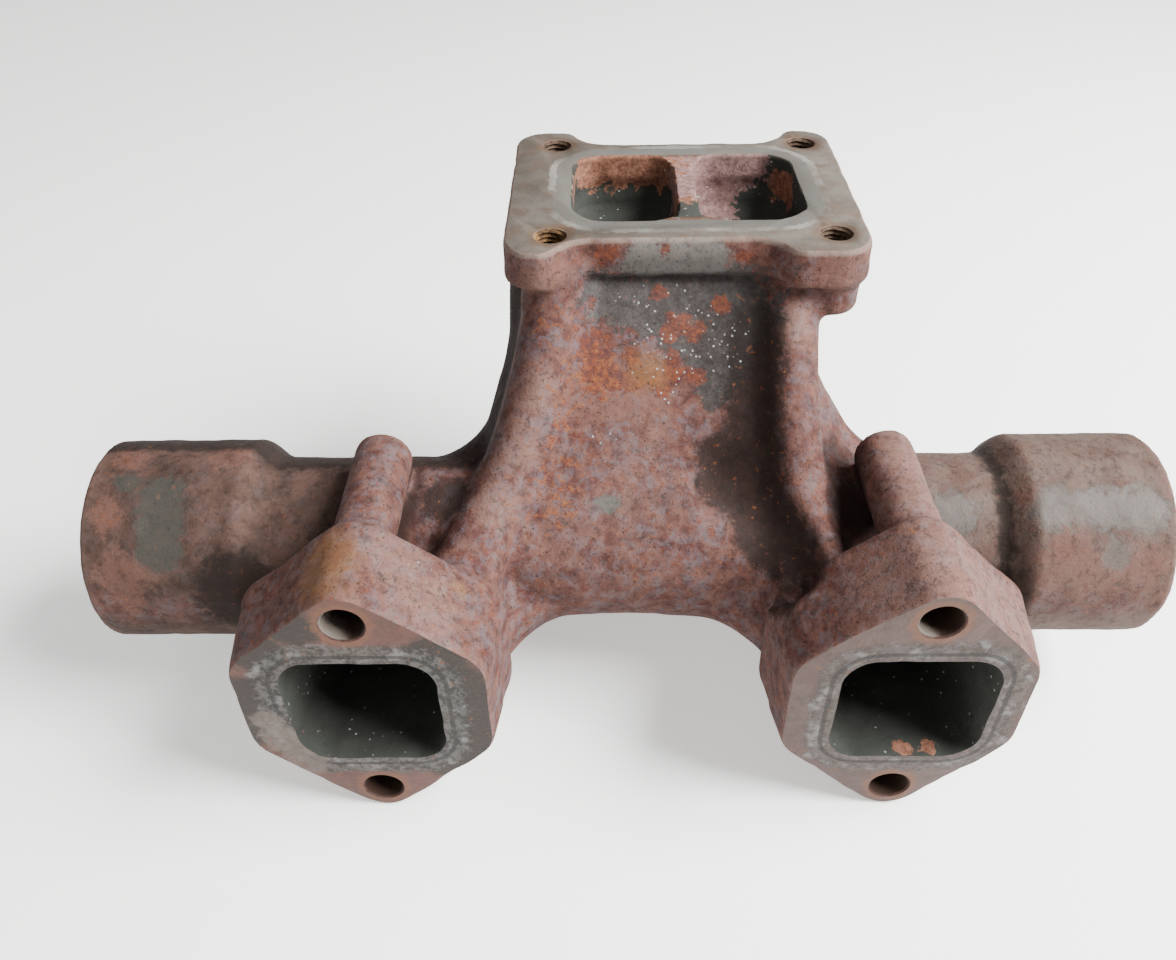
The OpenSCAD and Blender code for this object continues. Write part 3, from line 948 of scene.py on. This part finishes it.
def turbo_face():
    """The milled top face: stained grey, with the pale print of a gasket round its openings"""
    paint = Paint("milled_turbo")
    patchy = paint.noise(7, 5, 0.65, 0.5, seed=22)
    fine = paint.noise(1.4, 3, 0.7, seed=23)
    edge = paint.sum("SUBTRACT", paint.noise(3, 6, 0.7, 0.4, seed=24), 0.5)
    x = paint.sum("SUBTRACT", paint.times(paint.axis(0), 1000), TURBO_X)
    y = paint.sum("SUBTRACT", paint.times(paint.axis(1), 1000), TURBO_Y)
    gap = face_gap(paint, x, y, OPENING_W / 2, OPENING_D / 2, 12)
    away = paint.sum("ADD", gap, paint.times(edge, 4))
    colour = paint.blend(paint.step(paint.noise(18, 5, 0.65, 0.3, seed=21), 0.3, 0.7),
                         rgb(110, 100, 90), rgb(144, 136, 126))
    colour = paint.blend(paint.times(paint.step(patchy, 0.48, 0.64), 0.7), colour, rgb(128, 104, 90))
    colour = paint.blend(paint.times(band(paint, away, 1, 6), 0.6), colour, rgb(134, 134, 128))
    colour = paint.blend(paint.times(band(paint, away, 6.4, 8.0, 0.8),
                                     paint.step(paint.noise(16, 3, seed=25), 0.4, 0.62), 0.7), colour,
                                     rgb(186, 182, 174))
    bridge = paint.times(paint.step(paint.sum("ABSOLUTE", x), 13, 9), paint.step(gap, 1.5, -2))
    rusty = paint.step(paint.sum("ADD", paint.times(edge, 3), paint.sum("MAXIMUM", paint.step(gap, 1.5, -0.5),
                                                                        bridge)), 0.8, 1.0)
    colour = paint.blend(paint.times(rusty, 0.8), colour, rgb(128, 82, 64))
    hole = paint.holes([(a, b) for a in (-STUD_X, STUD_X) for b in (-STUD_Y, STUD_Y)], x, y)
    halo = paint.step(paint.sum("ADD", hole, paint.times(edge, 6)), 9, 5.5)
    colour = paint.blend(paint.times(halo, 0.6), colour, rgb(120, 92, 70))
    colour = paint.blend(paint.times(paint.step(fine, 0.36, 0.28), 0.4), colour, UMBER)
    paint.put(paint.shader.inputs["Base Color"], colour)
    paint.shader.inputs["Roughness"].default_value = 0.55
    paint.bump(paint.sum("ADD", fine, patchy), 0.1)
    return paint.material


# Marks on the two head faces: across from the port, up, radius in mm
CHARCOAL = [(-32, 6, 11), (-34, -8, 9), (34, 4, 11), (31, -12, 11), (-26, 28, 9), (-14, 37, 7), (24, 25, 9),
            (28, 14, 9), (24, -24, 9)]
SCRAPED = [(-27, -14, 7), (-22, -24, 7), (-29, -4, 5)]


def head_face():
    """The milled pad faces: charred round the port, flaky scale in a ring, and rust on the bolts' lobes"""
    paint = Paint("milled_head")
    patchy = paint.noise(6, 5, 0.65, 0.5, seed=31)
    fine = paint.noise(1.3, 4, 0.7, seed=32)
    edge = paint.sum("SUBTRACT", paint.noise(4, 7, 0.75, 0.5, seed=33), 0.5)
    along_x = paint.times(paint.axis(0), 1000)
    is_right = paint.step(along_x, -1, 1)
    x = paint.sum("SUBTRACT", along_x, paint.times(paint.sum("SUBTRACT", paint.times(is_right, 2), 1),
                                                   PORT_X))
    z = paint.times(paint.axis(2), 1000)
    gap = face_gap(paint, x, z, PORT_HALF, PORT_HALF)
    plain = paint.blend(is_right, rgb(134, 92, 80), rgb(122, 100, 94))
    colour = paint.blend(paint.step(patchy, 0.35, 0.65),
                         paint.blend(is_right, rgb(116, 84, 76), rgb(112, 88, 82)), plain)
    char = paint.near(CHARCOAL, x, z)
    char = paint.step(paint.sum("ADD", paint.times(char,
                                                   paint.sum("SUBTRACT", 1, paint.times(is_right, 0.75))),
                                paint.times(edge, 1.6)), 0.15, 0.75)
    colour = paint.blend(paint.times(char, 0.85), colour, paint.blend(fine, rgb(36, 36, 34), rgb(74, 72, 68)))
    wander = paint.sum("ADD", gap, paint.times(edge, 12))
    ring = paint.step(wander, 8.5, 6.5)
    scale = paint.blend(paint.step(scale_height(paint), 0.4, 0.6),
                        rgb(56, 55, 52), rgb(124, 120, 116))
    colour = paint.blend(paint.times(ring, paint.sum("SUBTRACT", 0.85,
                                                     paint.times(is_right, 0.3))), colour, scale)
    pale = paint.times(band(paint, wander, 2, 7, 2), paint.step(paint.noise(7, 4, 0.6, seed=35), 0.52, 0.64))
    colour = paint.blend(paint.times(pale, 0.7), colour, rgb(164, 162, 160))
    colour = paint.blend(paint.times(band(paint, gap, 2.4, 3.4, 0.4), 0.7), colour, rgb(44, 42, 40))
    bare = paint.times(paint.near(SCRAPED, x, z), paint.sum("SUBTRACT", 1, is_right))
    bare = paint.step(paint.sum("ADD", bare, paint.times(edge, 2)), 0.3, 0.7)
    colour = paint.blend(paint.times(bare, 0.7), colour,
                         paint.blend(fine, rgb(126, 108, 100), rgb(176, 158, 148)))
    spots = paint.step(paint.noise(3, 5, 0.7, 0.4, seed=36), 0.6, 0.66)
    colour = paint.blend(paint.times(spots, 0.7), colour, rgb(160, 98, 62))
    hole = paint.holes([(0, BOLT_Z), (0, -BOLT_Z)], x, z)
    halo = paint.step(paint.sum("ADD", hole, paint.times(edge, 8)), 9.5, 7.5)
    colour = paint.blend(paint.times(halo, 0.6), colour, rgb(156, 104, 76))
    colour = paint.blend(paint.times(paint.step(fine, 0.38, 0.28), 0.5), colour, UMBER)
    paint.put(paint.shader.inputs["Base Color"], colour)
    paint.shader.inputs["Roughness"].default_value = 0.6
    paint.bump(paint.sum("ADD", paint.times(scale_height(paint), ring), fine), 0.25)
    return paint.material


def scale_height(paint):
    return paint.noise(2.4, 5, 0.75, 0.6, seed=34)


def pipe_spot(x, turn, r):
    """On the log or on a bell, some degrees up from its front"""
    reach = BELL_R if abs(x) > BELL_START else LOG_R
    turn = math.radians(turn)
    return x, LOG_Y - reach * math.cos(turn), LOG_Z + reach * math.sin(turn), r


def lean_spot(x, s, n, r):
    return x, LOG_Y + s * SIN + n * COS, LOG_Z + s * COS - n * SIN, r


def wall_spot(x, s, r):
    """In the trough, at a height up the riser"""
    return lean_spot(x, s, front_wall(x, s), r)


def rib_spot(side, s, r):
    return lean_spot(rib_edge(s, side) - side * 9, s, -31, r)


def rim_spot(x, z, r):
    """On the front edge of the turbo flange, which is scooped out between its lobes"""
    return x, turbo_low[1] + (8 if abs(x - TURBO_X) < 32 else 1), z, r


def block_spot(side, x, y, r):
    """On top of a port block, across from its bolt and back from its face"""
    return side * PORT_X + x, y, BOLT_Z + 12 - 0.6 * abs(x), r


def mouth_spot(x, y, z, r):
    """In the openings of the turbo flange, from the middle of its face"""
    return TURBO_X + x, TURBO_Y + y, TURBO_Z + z, r


# What lies where, each place given on the feature that carries the stain or the painted shade; the orange one is
# partly scattered
scatter = np.random.default_rng(8)
STAINS = {
    "grey": [pipe_spot(-148, turn, 7) for turn in (36, 52, 68)]
    + [pipe_spot(x, 56, 8) for x in (100, 130, 144, 158)] + [pipe_spot(-160, 75, 4), pipe_spot(148, 30, 5)]
    + [rim_spot(x, 92, 7) for x in (4, 14, 24)] + [wall_spot(-8, 10, 4)],
    "slate": [wall_spot(x, 76, 10) for x in (-5, 8, 22, 35)] + [wall_spot(x, 66, 8) for x in (16, 26, 36)]
    + [wall_spot(30, 56, 7), wall_spot(20, 60, 6), wall_spot(26, 46, 5)],
    # soot, and painted shade: the right side of the trough, the pockets by the ribs, and the left bell beside its
    # block
    "soot_and_shade": [wall_spot(40, s, 9) for s in range(4, 76, 9)] + [wall_spot(28, s, 8) for s in (16, 26)]
    + [(45, y, 24, 10) for y in (28, 38, 48)] + [pipe_spot(-126, turn, 11) for turn in (0, 18)]
    + [(LEFT * 59, 61, 28, 9), (RIGHT * 70, 58, 28, 9)],
    "orange": [wall_spot(scatter.uniform(-6, 38), scatter.uniform(44, 78), scatter.uniform(3, 4))
               for _ in range(13)]
    + [wall_spot(-12, s, 6) for s in (52, 62)]
    + [rim_spot(-8, 94, 5), rim_spot(10, 95, 3), rim_spot(35, 93, 4)],
    "warm": [pipe_spot(x, 22, 9) for x in (-160, 130, 143, 156)]
    + [pipe_spot(x, 96, 8) for x in (-162, -130)]
    + [pipe_spot(-165, 56, 6), pipe_spot(121, 65, 5), pipe_spot(134, 46, 6)]
    + [wall_spot(x, 47, 9) for x in (-16, -7, 3)] + [rim_spot(x, 92, 8) for x in (-22, 34, 60)],
    "flecks": [wall_spot(-24, s, 7) for s in range(10, 80, 10)] + [wall_spot(-10, s, 7) for s in (48, 56)]
    + [pipe_spot(-165, turn, 5) for turn in (54, 90)],
    "ochre": [block_spot(LEFT, -5, 18, 8), block_spot(LEFT, -5, 8, 9), block_spot(LEFT, 30, 20, 4),
              wall_spot(5, 53, 7), (72, 49, 35, 3)],
    "pink": [block_spot(LEFT, 22, 11, 13), block_spot(LEFT, 10, 20, 9)]
    + [block_spot(RIGHT, x, 12, 12) for x in (-14, 0, 12, 24, 34)]
    + [rib_spot(LEFT, s, 8) for s in (10, 28, 46)] + [rib_spot(RIGHT, 66, 7)]
    + [rim_spot(x, 90, 7) for x in (-28, 62)]
    + [(RIGHT * PORT_X + 3, y, BOLT_Z + SLEEVE_R, 12) for y in (38, 60)],
    # maroon rust, and painted shade: the last row runs along the crease where the trough meets the top of the
    # arch
    "maroon_and_crease_shade": [wall_spot(49, s, 7) for s in range(6, 66, 12)] + [wall_spot(22, 52, 8)]
    + [rim_spot(x, 89, 7) for x in (-34, -22, 60, 70)]
    + [wall_spot(x, 9 + 0.35 * x, 4) for x in range(-26, 18, 9)],
    "specks": [wall_spot(16, 64, 16), wall_spot(30, 60, 12), wall_spot(6, 70, 12), wall_spot(10, 50, 8),
               wall_spot(-11, 30, 6), block_spot(LEFT, 18, 20, 7)],
    "tan": [mouth_spot(x, 24, -4, 8) for x in (-32, -23, -14, -5)]
    + [mouth_spot(x, 4, -8, 9) for x in (-37, -5)]
    + [mouth_spot(36, y, -9, 6) for y in (12, 20)] + [mouth_spot(0, y, 0, 7) for y in (-6, 6, 18)]
    + [(RIGHT * PORT_X + x, 3, -PORT_HALF, 3) for x in (2, 10)],
    "plum": [mouth_spot(x, 24, -5, 9) for x in (8, 16, 23)] + [mouth_spot(x, 20, -18, 8) for x in (8, 13)]
    + [mouth_spot(4, 9, -9, 11), mouth_spot(2, 0, 0, 8)],
}
MATERIALS = [cast_iron(), turbo_face(), head_face()]


def shade(data, slope):
    """Shade the cast skin by the field's own slope, so that it runs on smoothly from piece to piece"""
    data.shade_smooth()
    data.set_sharp_from_angle(angle=math.radians(40))
    corners = np.empty(len(data.loops), np.int32)
    data.loops.foreach_get("vertex_index", corners)
    faces = np.empty(len(data.polygons) * 3, np.float32)
    data.polygons.foreach_get("normal", faces)
    sizes = np.empty(len(data.polygons), np.int32)
    data.polygons.foreach_get("loop_total", sizes)
    kinds = np.empty(len(data.polygons), np.int32)
    data.polygons.foreach_get("material_index", kinds)
    faces = np.repeat(faces.reshape(-1, 3), sizes, axis=0)
    kinds = np.repeat(kinds, sizes)
    new = slope[corners]
    flat = ((new * faces).sum(1) < 0.8) | (kinds > 0)
    new[flat] = 0
    data.normals_split_custom_set(new.astype(np.float32))


def finish_piece(piece, node):
    """Give a piece its materials, its wear, stains and painted shade, and its shading, then hang it on the root
    body and hide the CAD part it stands for
    """
    data = piece.data
    data.materials.clear()
    for material in MATERIALS:
        data.materials.append(material)
    flat = np.zeros(len(data.polygons), np.int32)
    for face in data.polygons:
        if face.normal.z > 0.999 and face.center.z / MM > TURBO_Z - 0.01:
            flat[face.index] = 1
        elif face.normal.y < -0.9 and face.center.y / MM < 1.2:
            flat[face.index] = 2
    data.polygons.foreach_set("material_index", flat)
    shade(data, weather(piece))
    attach(piece, "root")
    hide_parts(node)


def box_cell(low, high):
    return prism([(low[0], low[1]), (high[0], low[1]), (high[0], high[1]), (low[0], high[1])],
                 low[2], high[2])


def leaning_cell(outline, low, high):
    """A prism drawn in x and s, between two values of n"""
    points, faces = prism(outline, low, high)
    points = [(x, LOG_Y + s * SIN + n * COS, LOG_Z + s * COS - n * SIN) for x, s, n in points]
    return points, [face[::-1] for face in faces]


def half_space(side, middle=0):
    return (-FAR, middle) if side == LEFT else (middle, FAR)


def rib_cell(side):
    rows = range(-8, 93, 10)
    middle = [rib_edge(s, side) - side * 8.5 for s in rows]
    outline = [(m + 8.5, s) for m, s in zip(middle, rows)] + [(m - 8.5, s)
                                                              for m, s in zip(middle, rows)][::-1]
    return leaning_cell(outline, -50, -25)


def divider_cell():
    """The wall between the two streams, drawn in y and z"""
    reach = OPENING_D / 2
    foot = [(LOG_Y + s * SIN + n * COS, LOG_Z + s * COS - n * SIN)
            for s, n in ((120, 18), (-3, 18), (-3, -18), (88, -18))]
    head = [(TURBO_Y - reach, TURBO_BOTTOM), (TURBO_Y - reach, FAR),
            (TURBO_Y + reach, FAR), (TURBO_Y + reach, TURBO_BOTTOM)]
    points, faces = prism((foot + head)[::-1], TURBO_X - DIVIDER_T / 2, TURBO_X + DIVIDER_T / 2)
    return [(h, a, b) for a, b, h in points], faces


def cells():
    """What to cut off the casting for each CAD node in turn, and last of all the two halves of the riser"""
    yield "stream_divider", divider_cell()
    yield "turbo_flange", box_cell((-FAR, -FAR, TURBO_BOTTOM), (FAR, FAR, FAR))
    for side, name in SIDES.items():
        low, high = half_space(side)
        yield f"head_flange_{name}", box_cell((low, -FAR, -FAR), (high, PAD_T, FAR))
        rod = revolve([(0, BLOCK_END), (SLEEVE_R + 1.5, BLOCK_END),
                       (SLEEVE_R + 1.5, SLEEVE_END + 2), (0, SLEEVE_END + 2)])
        yield f"bolt_sleeve_{name}", placed(rod, (0, 1, 0), (side * PORT_X, 0, BOLT_Z))
        yield f"port_block_{name}", box_cell((low, -FAR, -FAR), (high, BLOCK_END, FAR))
        yield f"bell_{name}", box_cell((half_space(side, side * BELL_START)[0], -FAR, -FAR),
                                       (half_space(side, side * BELL_START)[1], FAR, FAR))
        for row, end in ((-1, "front"), (1, "back")):
            stem = revolve([(0, BOSS_BOTTOM - 1), (10, BOSS_BOTTOM - 1),
                            (10, TURBO_BOTTOM + 1), (0, TURBO_BOTTOM + 1)])
            place = (TURBO_X + side * STUD_X, TURBO_Y + row * STUD_Y, 0)
            yield f"stud_boss_{end}_{name}", placed(stem, (0, 0, 1), place)
        near, far = sorted((side * (PORT_X - 36), side * FAR))
        yield f"port_runner_{name}", box_cell((near, -FAR, -FAR), (far, 50, 29))
        near, far = sorted((side * (neck_low[0] + 2), side * FAR))
        yield f"neck_{name}", box_cell((near, -FAR, -FAR), (far, FAR, FAR))
        yield f"rib_{name}", rib_cell(side)
    for kind, top in (("log", 15), ("riser", FAR)):
        for side, name in SIDES.items():
            low, high = half_space(side, TURBO_X)
            yield f"{kind}_{name}", leaning_cell([(low, -FAR), (high, -FAR), (high, top), (low, top)],
                                                 -FAR, FAR)


for node, cell in cells():
    piece = bpy.data.objects.new("cast_" + node, casting.data.copy())
    bpy.context.scene.collection.objects.link(piece)
    carve(piece, [cell], "INTERSECT")
    finish_piece(piece, node)
    carve(casting, [cell])
bpy.data.objects.remove(casting)
